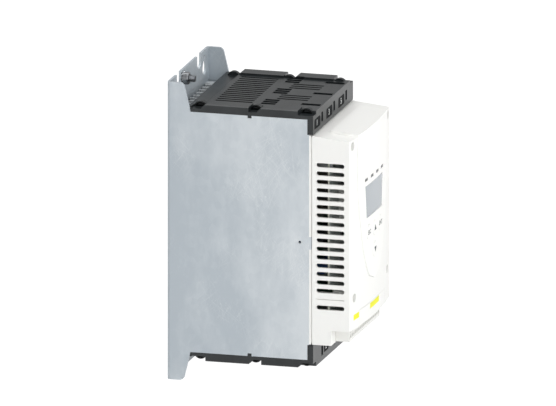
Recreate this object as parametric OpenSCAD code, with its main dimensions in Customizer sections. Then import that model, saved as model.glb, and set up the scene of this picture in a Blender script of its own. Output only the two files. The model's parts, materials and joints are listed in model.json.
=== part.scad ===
// Wall-mounted electronic soft starter for a three-phase motor.
// X runs to the right, -Y to the front and +Z up, in millimetres. The origin lies on the wall face,
// at the middle of the chassis. Depths are counted forward from the wall face.

/* [Chassis] */
// Width over the side panels
chassis_w = 130; // [127:1:150]
// Height over the mounting ears
chassis_h = 265; // [262:1:290]
// Height of the side panels between the ears
panel_h = 214.2; // [210:0.2:225]
// Depth of the side panels
panel_d = 127.4; // [126:0.2:132]
// Thickness of the folded sheet
sheet_t = 2; // [1.5:0.1:2.2]
// Outside radius of the two folds
fold_r = 3; // [2.5:0.1:5]
// Depth of an ear at its top edge
ear_tip_d = 14.8; // [11:0.2:17]
// Depth of an ear where it meets the side panel
ear_root_d = 21; // [18:0.5:24]
// Radius of an ear's corner
ear_r = 4.6; // [1:0.1:6]
// Wall screws, spacing across
screw_dx = 100; // [92:1:102]
// Wall screws, spacing up and down
screw_dz = 250; // [246:1:252]
// Bore for a wall screw's shank
screw_bore = 7; // [6:0.1:7.5]
// Keyhole opening for a wall screw's head
keyhole_bore = 12.5; // [11:0.1:13]
// Distance from a keyhole's seat down to its opening
keyhole_drop = 8.1; // [7:0.1:9]
// Spacing of the two open notches
notch_dx = 66; // [60:1:72]
// Width of an open notch
notch_w = 13; // [10:0.5:14]
// Depth of an open notch
notch_h = 12.6; // [9:0.1:14]
// Small alignment hole in each side panel
pin_bore = 2.5; // [1.5:0.1:4]

/* [Earth terminal] */
// Distance of the earth stud left of the middle
earth_x = 23; // [20:0.5:24]
// Distance of the earth stud below the top edge
earth_drop = 6.8; // [6.5:0.1:9]
// Earth stud diameter
earth_bore = 6; // [5:0.1:6]
// Earth stud length
earth_l = 14; // [12.5:0.5:16]

/* [Heat sink] */
// Thickness of the heat sink's base
sink_base_t = 8; // [6:0.5:10]
// Fin thickness
fin_t = 2.2; // [1.6:0.1:3]
// Fin pitch
fin_pitch = 9.8; // [8:0.1:12]
// Thick outer fins that take the screws
fin_boss_w = 8; // [7.5:0.5:9]
// Gap from the heat sink to the power covers
sink_gap = 4.5; // [3:0.5:8]

/* [Phases] */
// Distance from one phase to the next
phase_pitch = 39; // [37:0.5:40]
// Shift of the middle phase to the right
phase_shift = 3.5; // [2:0.5:4]
// Thyristor module width
module_w = 34; // [30:0.5:36]
// Thyristor module length
module_l = 95; // [93:0.5:97]
// Thyristor module height
module_h = 30; // [27:0.5:31]
// Busbar width
busbar_w = 14; // [12:0.5:15]
// Busbar thickness
busbar_t = 3; // [2:0.1:3.5]
// Bypass relay height
relay_h = 28; // [25:0.5:28.5]
// Bypass relay length
relay_l = 46; // [40:0.5:48]
// Room from the power board to the side panels' front edge
power_gap = 4.8; // [4:0.1:7]

/* [Power covers] */
// Depth of the covers' rear edge
cover_rear_d = 18.5; // [17:0.5:20]
// Rise of a cover above the side panels
cover_t = 4.4; // [3:0.1:5]
// Rise of the raised blocks above the cover
block_h = 3; // [2:0.1:4]
// Length of a block's bevelled end
bevel_l = 3.6; // [2:0.1:5]
// Depth where the rear block's flat top starts
rear_block_d = 34.4; // [32:0.2:36]
// Length of the rear block's flat top
rear_block_l = 38.6; // [34:0.2:40]
// Depth where the front block's flat top starts
front_block_d = 84.4; // [82:0.2:86]
// Length of the front block's flat top
front_block_l = 32.8; // [30:0.2:34]
// Thickness of the covers' front wall
apron_t = 2.5; // [2:0.1:3]
// Distance from the side panel's front edge to the front wall
apron_lead = 3.6; // [3.4:0.1:5]
// Drop of the front wall below the side panel's edge
apron_h = 13.4; // [13:0.1:16]
// Width of a vent slot
vent_w = 3; // [2:0.1:3.6]
// Cable entry width
entry_w = 6; // [5:0.5:8]
// Cable entry length
entry_l = 17; // [14:0.5:18]
// Terminal screw slot width
screw_slot_w = 5.2; // [3:0.1:6]
// Terminal screw slot height
screw_slot_h = 8.8; // [8:0.1:9.6]
// Marking field width
label_w = 19.5; // [13:0.5:20]
// Marking field height
label_h = 9.2; // [7:0.1:9.6]
// Radius of the half-round hoods near the side edges
hood_r = 6; // [5.2:0.1:6.2]

/* [Front housing] */
// Wall thickness of the white mouldings
wall = 2.5; // [2:0.1:2.8]
// Gap between the housing and the power covers
housing_gap = 0.6; // [0.4:0.1:1.5]
// Fall of the roof towards the front, in degrees
roof_pitch = 5.9; // [4:0.1:7]
// Depth of the housing from the side panels to the crown of its front
housing_l = 41; // [38:0.2:46]
// Radius of the convex front
front_r = 528; // [450:1:800]
// Depth of the housing's set-back lower part
step_l = 19.8; // [18:0.2:23]
// Height of the set-back part
step_h = 13.3; // [13:0.1:16]
// Height of the first louvre's middle
louvre_z = 67.2; // [65:0.1:70]
// Louvre pitch
louvre_pitch = 7.46; // [7:0.01:7.7]
// Louvre length
louvre_l = 25.3; // [20:0.1:26]
// Louvre height
louvre_h = 3.9; // [3:0.1:4.2]
// Distance from the side panels to the louvres
louvre_lead = 6.3; // [5:0.1:8]
// Well diameter of the housing screws
well_bore = 8; // [7.5:0.1:9]

/* [Front cover] */
// Half width of the shield
shield_half = 46.5; // [44:0.5:48]
// Height where the shield starts to narrow
shield_shoulder = 50; // [48:0.5:56]
// Depth of the shield's point below the middle
shield_point = 46; // [40:0.5:47]
// Step of the front cover above the housing
shield_step = 1; // [0.6:0.1:1.4]
// Rise of the roof tongue above the roof
tongue_h = 2.3; // [1.8:0.1:3]
// Distance from the side panels to the roof tongue's rear edge
tongue_lead = 14.6; // [11:0.2:20]
// Display width at the top
display_w = 55.8; // [50:0.2:60]
// Display width at the bottom
display_w_low = 48.9; // [44:0.1:50]
// Height of the display's bottom edge
display_z = 12; // [11:0.5:14]
// Display height
display_h = 28.9; // [26:0.1:29.5]
// Key diameter
key_bore = 13.5; // [12:0.1:14.5]
// Key spacing across
key_dx = 18; // [17.5:0.1:18.5]
// Key spacing up and down
key_dz = 19.5; // [18:0.1:20]
// Height of the upper keys
key_z = -1.5; // [-2:0.1:-1]
// Key travel
key_travel = 0.8; // [0.4:0.1:1]
// Height of the status lamps
lamp_z = 46.5; // [45.5:0.1:49]
// Status lamp spacing
lamp_pitch = 16.8; // [14:0.1:18]
// Height of the line under which the flap starts
flap_z = -66; // [-68:0.1:-65.5]
// Width of the flap
flap_w = 82; // [74:1:86]

/* [Control terminals] */
// Number of control terminals
terminals = 18; // [12:1:18]
// Control terminal pitch
terminal_pitch = 5.3; // [5:0.02:5.4]
// Left end of the control terminal block
terminal_x = -52; // [-53:0.5:-50]
// Projection of the control terminal block in front of the set-back wall
terminal_lead = 12.8; // [11:0.2:15]
// Height of the control terminal block
terminal_h = 11.5; // [10:0.1:12]

/* [Hidden] */
$fn = 64;
crown_fn = 240;
eps = 0.01;
PHASES = [-1, 0, 1];
SIDES = [-1, 1];

// Clearances
seat_gap = 0.1;
seam_gap = 0.3;
slide_gap = 0.3;
thread_gap = 0.06;
board_t = 1.6;
pin_l = 2;

// Depths that follow the side panels
front_d = panel_d + housing_l;
step_d = panel_d + step_l;
louvre_d = panel_d + louvre_lead;
tongue_d = panel_d + tongue_lead;
terminal_d = step_d + terminal_lead;

// Chassis
half_w = chassis_w / 2;
half_h = chassis_h / 2;
edge_z = panel_h / 2;
inner_x = half_w - sheet_t;
seat_z = screw_dz / 2;
keyhole_z = seat_z - keyhole_drop;
align_d = 119;
align_z = -2.5;
tab_z = [-8.5, 2.5];
tab_lead = 2;
hook_d = 74;
hook_w = 3.6;
hook_h = 2.4;
earth_z = half_h - earth_drop;

// Power covers
cover_top_z = edge_z + cover_t;
block_top_z = cover_top_z + block_h;
cover_skin = 2.4;
rim_w = 15;
rim_cut = 0.7;
field_x = half_w - rim_w;
field_drop = 1.5;
field_z = block_top_z - field_drop;
notch_z = cover_top_z - 1.2;
apron_d = panel_d + apron_lead;
apron_z = edge_z - apron_h;
lip_d = panel_d - 1.6;
skirt_t = 2.2;
skirt_h = 8;
skirt_x = inner_x - slide_gap;
slot_z = edge_z - 4.2;
label_z = edge_z - 5.4;
label_t = 0.8;
label_r = 2;
label_in = 2;
low_near = 5.6;
low_label_w = half_w - label_in - phase_shift - phase_pitch - low_near;
TOP_LABEL = [-15.9, label_w];
LOW_LABEL = [low_near + low_label_w / 2, low_label_w];
low_shift = 2.4;
entry_wall = 1.5;
entry_d = apron_d - entry_wall - entry_l;
hood_in = 9.5;
hood_l = 4.4;
hood_rise = 0.5;
hood_wall = 0.9;
ledge_w = 4;
hood_end_d = apron_d - 8.5;
vents_per_phase = 6;
vent_pitch = phase_pitch / vents_per_phase;
vent_n = floor(half_w / vent_pitch);
vent_margin = 2.6;
grid_w = 5;
grid_d = front_block_d - 6.4;
grid_l = 13;
HOODS = [rear_block_d - bevel_l - 3.2, (rear_block_d + rear_block_l + front_block_d) / 2 - 1.7, hood_end_d];

// Heat sink, its front face set back from the power board by the phase stack
sink_front_d = panel_d - power_gap - board_t - pin_l - relay_h - busbar_t - module_h;
sink_w = chassis_w - 2 * (sheet_t + slide_gap + skirt_t) - 1;
sink_h = panel_h - 2 * sink_gap;
sink_rear_d = sheet_t + 1;
sink_screw_x = sink_w / 2 - fin_boss_w / 2;
sink_screw_z = 80;
sink_screw_r = 2.4;
sink_screw_l = 16;
fin_n = floor((sink_w / 2 - fin_boss_w - fin_t) / fin_pitch);

// Phase stack, each piece on the one behind it
module_d = sink_front_d;
post_z = 30;
lug_z = module_l / 2 - 4.6;
lug_t = 8;
busbar_d = module_d + module_h;
relay_d = busbar_d + busbar_t;
relay_w = 30;
power_d = relay_d + relay_h + pin_l;
power_front_d = power_d + board_t;
busbar_turn_z = 67;
busbar_foot_z = 14;
clamp_w = busbar_w + 3;
clamp_h = 11;
clamp_l = 19.9;
clamp_wall = 3;
clamp_lip = 5;
clamp_z = edge_z - 6;
clamp_front_d = apron_d - apron_t - 2.6;
clamp_rear_d = clamp_front_d - clamp_l;
busbar_end_d = clamp_rear_d + clamp_wall;
busbar_end_z = clamp_z + clamp_h / 2 - 1;
clamp_screw_r = 3;
clamp_screw_l = clamp_l - clamp_wall - busbar_t - 4;
transformer_z = -55;
transformer_t = 10;
transformer_w = busbar_w + 10;
module_screw_r = 2.4;
module_hole_r = 2.8;
post_w = 14;
post_h = 3;

// Boards
control_front_d = step_d - wall - 0.3;
control_d = control_front_d - board_t;
board_half = inner_x - wall - 0.5;
board_top_z = 75;
pillar_x = board_half - 4.5;
pillar_z = board_top_z - 9;
pillar_af = 7;
stud_r = 1.9;
supply_w = 40;
supply_h = 32;
supply_l = 15;
supply_x = -24;
supply_z = 42;
bobbin = 6;
gate_w = 14;
gate_l = 11;
gate_z = -5;
surge_r = 7;
surge_t = 5;
surge_z = -30;
output_w = 20;
output_h = 10;
output_l = 15;
output_z = -70;
OUTPUTS_X = [-24, 10];
plug_w = 36;
plug_h = 6;
plug_x = 26;
plug_z = 41;

// Front housing
housing_z = edge_z - apron_h - housing_gap;
shelf_z = step_h - housing_z;
control_low_z = wall + slide_gap - housing_z;
wells_top = [half_w - 7.5, housing_z - 9.2];
wells_low = [half_w - 11.8, -52];
WELLS = [[-wells_top[0], wells_top[1]], wells_top, [-wells_low[0], wells_low[1]], wells_low];
boss_r = 6;
boss_floor = 2.5;
column_r = 3.8;
boss_clear_x = wells_low[0] - boss_r - 1.2;
well_floor_d = step_d + 2;
housing_screw_r = 1.95;
head_h = 3;
groove_d = panel_d + 1.8;
groove_w = 0.9;
groove_depth = 1.4;
louvre_n = 18;
parting_louvre = 16;
terminal_w = terminals * terminal_pitch + 2.6;
terminal_z = shelf_z - 0.7 - terminal_h / 2;
terminal_screw_z = terminal_z + 3;
terminal_screw_r = 1.5;
terminal_screw_l = 5;
wire_z = terminal_z - 1.1;
wire_w = 3.6;
wire_h = 3.2;
wire_l = 7;
insert_h = 4.8;
insert_t = 0.6;
insert_left = [-55, flap_w / -2 - 0.6];
insert_centre = [-11, 18];
flap_t = 1.3;

// Front cover
cover_in = shield_step + 1.5;
key_gap = 0.3;
key_proud = 0.6;
flange_t = 1.2;
lamp_w = 8;
lamp_h = 2.4;
window_t = 1.2;
switch_h = 3.5;
switch_w = 6;
plunger_r = 1.7;
plunger_h = 1;
stem_r = 2;
glass_t = 2.8;
holder_rim = 2.1;
holder_t = 3;
holder_front_d = crown_d(display_w / 2, cover_in) - glass_t - 0.6;
KEYS = [[-key_dx, key_z], [0, key_z], [key_dx, key_z], [0, key_z - key_dz]];

function phase_x(i) = phase_shift + i * phase_pitch;
function roof_z(d) = housing_z - tan(roof_pitch) * (d - panel_d);
function crown_d(x, inset) = front_d - front_r + sqrt(pow(front_r - inset, 2) - x * x);

// Half width of the shield at a share t of the way from its shoulder to its point
function shield_x(t) = shield_half * pow(1 - pow(t, 1.3), 1 / 2.4);
function shield_z(t) = shield_shoulder - t * (shield_shoulder + shield_point);

// Basic solids, with ranges in X, depth and height
module box(x, d, z) {
    translate([x[0], -d[1], z[0]])
        cube([x[1] - x[0], d[1] - d[0], z[1] - z[0]]);
}

module rod(x, z, d, r) {
    translate([x, -d[0], z])
        rotate([90, 0, 0])
            cylinder(r = r, h = d[1] - d[0]);
}

module cone(x, z, d, r) {
    translate([x, -d[0], z])
        rotate([90, 0, 0])
            cylinder(r1 = r[0], r2 = r[1], h = d[1] - d[0]);
}

module hex(x, z, d, af) {
    translate([x, -d[0], z])
        rotate([90, 0, 0])
            cylinder(r = af / sqrt(3), h = d[1] - d[0], $fn = 6);
}

module cross_rod(x, d, z, r) {
    translate([x[0], -d, z])
        rotate([0, 90, 0])
            cylinder(r = r, h = x[1] - x[0]);
}

// An outline in depth and height, drawn out across X
module across(x) {
    translate([x[1], 0, 0])
        rotate([90, 0, -90])
            linear_extrude(x[1] - x[0])
                children();
}

// An outline in X and height, drawn out along the depth
module along(d) {
    translate([0, -d[0], 0])
        rotate([90, 0, 0])
            linear_extrude(d[1] - d[0])
                children();
}

// The convex front as a solid, set back by an inset
module crown(inset) {
    translate([0, front_r - front_d, -chassis_h])
        cylinder(r = front_r - inset, h = 2 * chassis_h, $fn = crown_fn);
}

// A skin of the convex front between two insets
module crown_skin(outer, inner) {
    difference() {
        crown(outer);
        crown(inner);
    }
}

// A pan-head screw along the depth, its head towards the front
module pan_screw(x, z, head_d, shank_d, head_r, r, h) {
    difference() {
        union() {
            rod(x, z, [shank_d, head_d + h / 2], r);
            rod(x, z, [head_d, head_d + h], head_r);
        }
        box([x - 0.5, x + 0.5], [head_d + h / 2, head_d + h + eps], [z - head_r, z + head_r]);
    }
}

module side_outline() {
    slant = (ear_root_d - ear_tip_d) / (half_h - edge_z);
    arc_d = ear_tip_d + slant * ear_r - ear_r * sqrt(1 + slant * slant);
    arc = [for (a = [90:-15:atan(slant)]) [arc_d + ear_r * cos(a), half_h - ear_r + ear_r * sin(a)]];
    ear = concat([[0, half_h]], arc, [[ear_root_d, edge_z]]);
    corner = [
        [lip_d, edge_z],
        [lip_d, apron_z - seat_gap],
        [panel_d, apron_z - seat_gap]
    ];
    upper = concat(ear, corner);
    tab = [
        [panel_d, tab_z[1]],
        [panel_d + tab_lead, tab_z[1]],
        [panel_d + tab_lead, tab_z[0]],
        [panel_d, tab_z[0]]
    ];
    n = len(upper);
    lower = [for (i = [1:n]) [upper[n - i][0], -upper[n - i][1]]];
    polygon(concat(upper, tab, lower));
}

module fold_section() {
    difference() {
        translate([-half_w, -panel_d - tab_lead])
            square([chassis_w, panel_d + tab_lead]);
        translate([-inner_x, -panel_d - tab_lead - 1])
            square([2 * inner_x, panel_d + tab_lead + 1 - sheet_t]);
        for (s = SIDES)
            difference() {
                translate([s * (half_w - fold_r / 2) - fold_r / 2, -fold_r])
                    square([fold_r, fold_r]);
                translate([s * (half_w - fold_r), -fold_r])
                    circle(r = fold_r);
            }
    }
}

module keyholes() {
    for (s = SIDES) {
        rod(s * screw_dx / 2, keyhole_z, [-1, sheet_t + 1], keyhole_bore / 2);
        rod(s * screw_dx / 2, seat_z, [-1, sheet_t + 1], screw_bore / 2);
        box([s * screw_dx / 2 - screw_bore / 2, s * screw_dx / 2 + screw_bore / 2],
            [-1, sheet_t + 1], [keyhole_z, seat_z]);
        rod(s * screw_dx / 2, -seat_z, [-1, sheet_t + 1], screw_bore / 2);
    }
}

module notches() {
    floor_z = half_h - notch_h + notch_w / 2;
    for (s = SIDES, v = SIDES) {
        rod(s * notch_dx / 2, v * floor_z, [-1, sheet_t + 1], notch_w / 2);
        box([s * notch_dx / 2 - notch_w / 2, s * notch_dx / 2 + notch_w / 2], [-1, sheet_t + 1],
            v > 0 ? [floor_z, half_h + 1] : [-half_h - 1, -floor_z]);
    }
}

// Lugs folded in from the side panels to take the housing screws
module screw_lugs() {
    for (w = WELLS) {
        s = sign(w[0]);
        reach = abs(w[0]) - 6.5;
        difference() {
            box(s > 0 ? [reach, inner_x + eps] : [-inner_x - eps, -reach],
                [panel_d - sheet_t, panel_d], [w[1] - 6.5, w[1] + 6.5]);
            rod(w[0], w[1], [panel_d - sheet_t - 1, panel_d + 1], housing_screw_r + thread_gap);
        }
    }
}

module chassis() {
    color("#c0c7cc") {
        difference() {
            intersection() {
                translate([0, 0, -half_h])
                    linear_extrude(chassis_h)
                        fold_section();
                across([-half_w, half_w])
                    side_outline();
            }
            keyholes();
            notches();
            rod(-earth_x, earth_z, [-1, sheet_t + 1], earth_bore / 2 + thread_gap);
            for (s = SIDES, v = SIDES) {
                cone(s * sink_screw_x, v * sink_screw_z, [-eps, sheet_t + eps], [5, sink_screw_r + 0.4]);
                box([s * (half_w - sheet_t / 2) - sheet_t, s * (half_w - sheet_t / 2) + sheet_t],
                    [hook_d - hook_w / 2, hook_d + hook_w / 2],
                    v > 0 ? [edge_z - hook_h, edge_z + 1] : [-edge_z - 1, -edge_z + hook_h]);
            }
            cross_rod([-half_w - 1, half_w + 1], align_d, align_z, pin_bore / 2);
        }
        screw_lugs();
    }
}

module earth_stud() {
    color("#c9ccd0")
        rod(-earth_x, earth_z, [0.2, earth_l], earth_bore / 2);
}

module earth_washer() {
    color("#b9bcc0")
        difference() {
            rod(-earth_x, earth_z, [sheet_t, sheet_t + 1.6], earth_bore);
            rod(-earth_x, earth_z, [sheet_t - 1, sheet_t + 3], earth_bore / 2 + slide_gap);
        }
}

module earth_nut() {
    color("#a9adb2")
        difference() {
            hex(-earth_x, earth_z, [sheet_t + 1.6, sheet_t + 6.6], earth_bore + 4);
            rod(-earth_x, earth_z, [sheet_t, sheet_t + 8], earth_bore / 2 + thread_gap);
        }
}

module heat_sink() {
    base_d = sink_front_d - sink_base_t;
    color("#aab0b5")
        difference() {
            union() {
                box([-sink_w / 2, sink_w / 2], [base_d, sink_front_d], [-sink_h / 2, sink_h / 2]);
                for (i = [-fin_n:fin_n])
                    box([i * fin_pitch - fin_t / 2, i * fin_pitch + fin_t / 2],
                        [sink_rear_d, base_d + eps], [-sink_h / 2, sink_h / 2]);
                for (s = SIDES)
                    box([s * sink_screw_x - fin_boss_w / 2, s * sink_screw_x + fin_boss_w / 2],
                        [sheet_t, base_d + eps], [-sink_h / 2, sink_h / 2]);
            }
            for (s = SIDES, v = SIDES) {
                rod(s * sink_screw_x, v * sink_screw_z, [0, sink_screw_l + 1], sink_screw_r + thread_gap);
                rod(s * pillar_x, v * pillar_z, [sink_front_d - 6, sink_front_d + 1], stud_r + thread_gap);
            }
            for (i = PHASES, v = SIDES)
                rod(phase_x(i), v * lug_z, [sink_front_d - 6, sink_front_d + 1], module_screw_r + thread_gap);
        }
}

module heat_sink_screws() {
    color("#8f949a")
        for (s = SIDES, v = SIDES) {
            cone(s * sink_screw_x, v * sink_screw_z, [0.1, sheet_t], [4.6, sink_screw_r]);
            rod(s * sink_screw_x, v * sink_screw_z, [sheet_t, sink_screw_l], sink_screw_r);
        }
}

module thyristor_module(i) {
    x = phase_x(i);
    body_l = 2 * (lug_z - 5);
    color("#3a3d42")
        difference() {
            union() {
                box([x - module_w / 2, x + module_w / 2], [module_d, module_d + lug_t],
                    [-module_l / 2, module_l / 2]);
                box([x - module_w / 2 + 2, x + module_w / 2 - 2],
                    [module_d + lug_t - eps, busbar_d - post_h], [-body_l / 2, body_l / 2]);
                for (v = SIDES)
                    box([x - post_w / 2, x + post_w / 2], [busbar_d - post_h - eps, busbar_d],
                        [v * post_z - post_w / 2, v * post_z + post_w / 2]);
            }
            for (v = SIDES) {
                rod(x, v * lug_z, [module_d - 1, module_d + lug_t + 1], module_hole_r);
                rod(x, v * post_z, [busbar_d - 9, busbar_d + 1], module_screw_r + thread_gap);
            }
        }
}

module thyristor_screws() {
    color("#9a9ea3")
        for (i = PHASES, v = SIDES)
            pan_screw(phase_x(i), v * lug_z, module_d + lug_t, module_d - 5, 4.3, module_screw_r, 3);
}

// A cranked copper strip from a module post to the cable clamp above it
module busbar(i, v) {
    x = phase_x(i);
    color("#b87a4b")
        difference() {
            across([x - busbar_w / 2, x + busbar_w / 2])
                scale([1, v])
                    polygon([
                        [busbar_d, busbar_foot_z],
                        [relay_d, busbar_foot_z],
                        [relay_d, busbar_turn_z],
                        [busbar_end_d + busbar_t, busbar_turn_z],
                        [busbar_end_d + busbar_t, busbar_end_z],
                        [busbar_end_d, busbar_end_z],
                        [busbar_end_d, busbar_turn_z + busbar_t],
                        [busbar_d, busbar_turn_z + busbar_t]
                    ]);
            rod(x, v * post_z, [busbar_d - 1, relay_d + 1], module_hole_r);
        }
}

module busbar_screws() {
    color("#9a9ea3")
        for (i = PHASES, v = SIDES)
            pan_screw(phase_x(i), v * post_z, relay_d, busbar_d - 8, 4.4, module_screw_r, 3.4);
}

module bypass_relay(i) {
    x = phase_x(i);
    color("#2c4a7a") {
        box([x - relay_w / 2, x + relay_w / 2], [relay_d, relay_d + relay_h], [-relay_l / 2, relay_l / 2]);
        for (s = SIDES, v = SIDES)
            rod(x + s * 10, v * 16, [relay_d + relay_h - eps, power_d], 0.8);
    }
}

module current_transformer(i) {
    x = phase_x(i);
    mid_d = busbar_d + busbar_t / 2;
    z = [transformer_z - transformer_t / 2, transformer_z + transformer_t / 2];
    color("#31363c")
        difference() {
            box([x - transformer_w / 2, x + transformer_w / 2],
                [mid_d - transformer_t, mid_d + transformer_t], z);
            box([x - busbar_w / 2 - slide_gap, x + busbar_w / 2 + slide_gap],
                [busbar_d - slide_gap, relay_d + slide_gap], [z[0] - 1, z[1] + 1]);
        }
}

// A steel cage around the busbar's end, open above and below for the cable
module clamp(i, v) {
    x = phase_x(i);
    zc = v * clamp_z;
    color("#b4b8bc")
        difference() {
            box([x - clamp_w / 2, x + clamp_w / 2], [clamp_rear_d, clamp_front_d],
                [zc - clamp_h / 2, zc + clamp_h / 2]);
            box([x - busbar_w / 2 - slide_gap, x + busbar_w / 2 + slide_gap],
                [busbar_end_d, clamp_front_d - clamp_lip], [zc - clamp_h, zc + clamp_h]);
            rod(x, zc, [clamp_front_d - clamp_lip - 1, clamp_front_d + 1], clamp_screw_r + thread_gap);
        }
}

module clamp_screws() {
    color("#c5c8cc")
        for (i = PHASES, v = SIDES)
            pan_screw(phase_x(i), v * clamp_z, clamp_front_d, clamp_front_d - clamp_screw_l,
                3.8, clamp_screw_r, 1.8);
}

// A board's outline, cut out around the lower screw bosses of the housing
module board_outline(low_z) {
    difference() {
        translate([-board_half, low_z])
            square([2 * board_half, board_top_z - low_z]);
        for (s = SIDES)
            translate([s > 0 ? boss_clear_x : -half_w, wells_low[1] - boss_r - 1.5])
                square([half_w - boss_clear_x, 2 * boss_r + 3]);
        for (s = SIDES, v = SIDES)
            translate([s * pillar_x, v * pillar_z])
                circle(r = stud_r + thread_gap);
    }
}

module power_board() {
    color("#2f6b4a")
        along([power_d, power_front_d])
            board_outline(-board_top_z);
}

module board_pillars() {
    color("#c8b070")
        for (s = SIDES, v = SIDES)
            difference() {
                union() {
                    hex(s * pillar_x, v * pillar_z, [sink_front_d, power_d], pillar_af);
                    rod(s * pillar_x, v * pillar_z, [sink_front_d - 5, sink_front_d + 1], stud_r);
                }
                rod(s * pillar_x, v * pillar_z, [power_d - 7, power_d + 1], stud_r + thread_gap);
            }
}

module control_board() {
    color("#2f6b4a")
        along([control_d, control_front_d])
            board_outline(control_low_z);
}

module control_pillars() {
    color("#c8b070")
        for (s = SIDES, v = SIDES)
            difference() {
                union() {
                    hex(s * pillar_x, v * pillar_z, [power_front_d, control_d], pillar_af);
                    rod(s * pillar_x, v * pillar_z, [power_front_d - 6, power_front_d + 1], stud_r);
                }
                rod(s * pillar_x, v * pillar_z, [control_d - 7, control_d + 1], stud_r + thread_gap);
            }
}

module board_screws() {
    color("#9a9ea3")
        for (s = SIDES, v = SIDES)
            pan_screw(s * pillar_x, v * pillar_z, control_front_d, control_d - 5, 3.2, stud_r, 2.2);
}

module supply_transformer() {
    d = power_front_d;
    x = [supply_x - supply_w / 2, supply_x + supply_w / 2];
    z = [supply_z - supply_h / 2, supply_z + supply_h / 2];
    color("#4a3b2a") {
        box(x, [d, d + supply_l], z);
        box([x[0] + bobbin, x[1] - bobbin], [d + 1, d + supply_l - 1], [z[0] - bobbin, z[1] + bobbin]);
    }
}

module gate_transformers() {
    color("#25282c")
        for (i = PHASES)
            box([phase_x(i) - gate_w / 2, phase_x(i) + gate_w / 2], [power_front_d, power_front_d + gate_l],
                [gate_z - gate_w / 2, gate_z + gate_w / 2]);
}

module surge_absorbers() {
    color("#2b58a8")
        for (i = PHASES) {
            cross_rod([phase_x(i) - surge_t / 2, phase_x(i) + surge_t / 2], power_front_d + surge_r + 1,
                surge_z, surge_r);
            box([phase_x(i) - 1, phase_x(i) + 1], [power_front_d, power_front_d + surge_r],
                [surge_z - 3, surge_z + 3]);
        }
}

module output_relays() {
    color("#e8e8e4")
        for (x = OUTPUTS_X)
            box([x - output_w / 2, x + output_w / 2], [control_d - output_l, control_d],
                [output_z - output_h / 2, output_z + output_h / 2]);
}

module board_connector() {
    color("#1e2022")
        box([plug_x - plug_w / 2, plug_x + plug_w / 2], [power_front_d, control_d],
            [plug_z - plug_h / 2, plug_z + plug_h / 2]);
}

module key_switches() {
    color("#1c1d1f")
        for (k = KEYS) {
            box([k[0] - switch_w / 2, k[0] + switch_w / 2], [control_front_d, control_front_d + switch_h],
                [k[1] - switch_w / 2, k[1] + switch_w / 2]);
            rod(k[0], k[1], [control_front_d + switch_h - eps, control_front_d + switch_h + plunger_h],
                plunger_r);
        }
}

// Raised block of a power cover: one end is upright, the other is bevelled
module cover_block(d, l, bevel_front) {
    across([-half_w, half_w])
        polygon([
            [d - (bevel_front ? 0 : bevel_l), cover_top_z - eps],
            [d + l + (bevel_front ? bevel_l : 0), cover_top_z - eps],
            [d + l, block_top_z],
            [d, block_top_z]
        ]);
}

// Depths between which the cover stays low: behind the rear block, between the blocks and at the front
function valleys(bevel_front) =
    let (
        rear_bevel = bevel_front ? 0 : bevel_l,
        front_bevel = bevel_front ? bevel_l : 0
    )
    [
        [ear_root_d + slide_gap, rear_block_d - rear_bevel],
        [rear_block_d + rear_block_l + front_bevel, front_block_d - rear_bevel],
        [front_block_d + front_block_l + front_bevel, apron_d + 1]
    ];

// Half-round hood near both side edges, or the opening under it
module cover_hoods(inset) {
    mouth = inset > 0 ? 1 : 0;
    x = [half_w - hood_in - hood_l + inset, half_w - hood_in + mouth];
    for (s = SIDES, d = HOODS)
        intersection() {
            cross_rod(s > 0 ? x : [-x[1], -x[0]], d, block_top_z + hood_rise - hood_r, hood_r - inset);
            box([-half_w, half_w], [0, apron_d], [edge_z - mouth, block_top_z + hood_rise]);
        }
}

// Openings under the hoods, each with a catch on its rear wall
module cover_mouths() {
    x = [half_w - hood_in - hood_l, half_w - hood_in - 1];
    difference() {
        cover_hoods(hood_wall);
        for (s = SIDES, d = HOODS)
            box(s > 0 ? x : [-x[1], -x[0]], [d - ledge_w / 2, d + ledge_w / 2],
                [cover_top_z, cover_top_z + hood_wall]);
    }
}

// Recesses that run from the side edges to the hoods
module cover_notches(bevel_front) {
    for (s = SIDES, d = valleys(bevel_front))
        box(s > 0 ? [half_w - hood_in, half_w + 1] : [-half_w - 1, hood_in - half_w], d,
            [notch_z, block_top_z + 1]);
}

// Rows of vent slots in both blocks, between the plain rims. The front ones keep clear of the phases.
module cover_vents() {
    bars = [
        [rear_block_d + vent_margin, rear_block_d + rear_block_l - vent_margin],
        [front_block_d + vent_margin, front_block_d + front_block_l - vent_margin]
    ];
    for (k = [-vent_n:vent_n], b = [0, 1]) {
        x = k * vent_pitch + phase_shift;
        clear_k = min(abs(k) % vents_per_phase, vents_per_phase - abs(k) % vents_per_phase);
        if (abs(x) + vent_w / 2 < field_x && (b == 0 || clear_k > 1))
            box([x - vent_w / 2, x + vent_w / 2], bars[b], [edge_z - 1, block_top_z + 1]);
    }
}

// Marking field with round corners, or the recess for it
module label_form(x, z, d, width, inset) {
    w = width / 2 - inset;
    h = label_h / 2 - inset;
    r = label_r - inset;
    box([x - w, x + w], d, [z - h + r, z + h - r]);
    box([x - w + r, x + w - r], d, [z - h, z + h]);
    for (a = SIDES, b = SIDES)
        rod(x + a * (w - r), z + b * (h - r), d, r);
}

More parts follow.
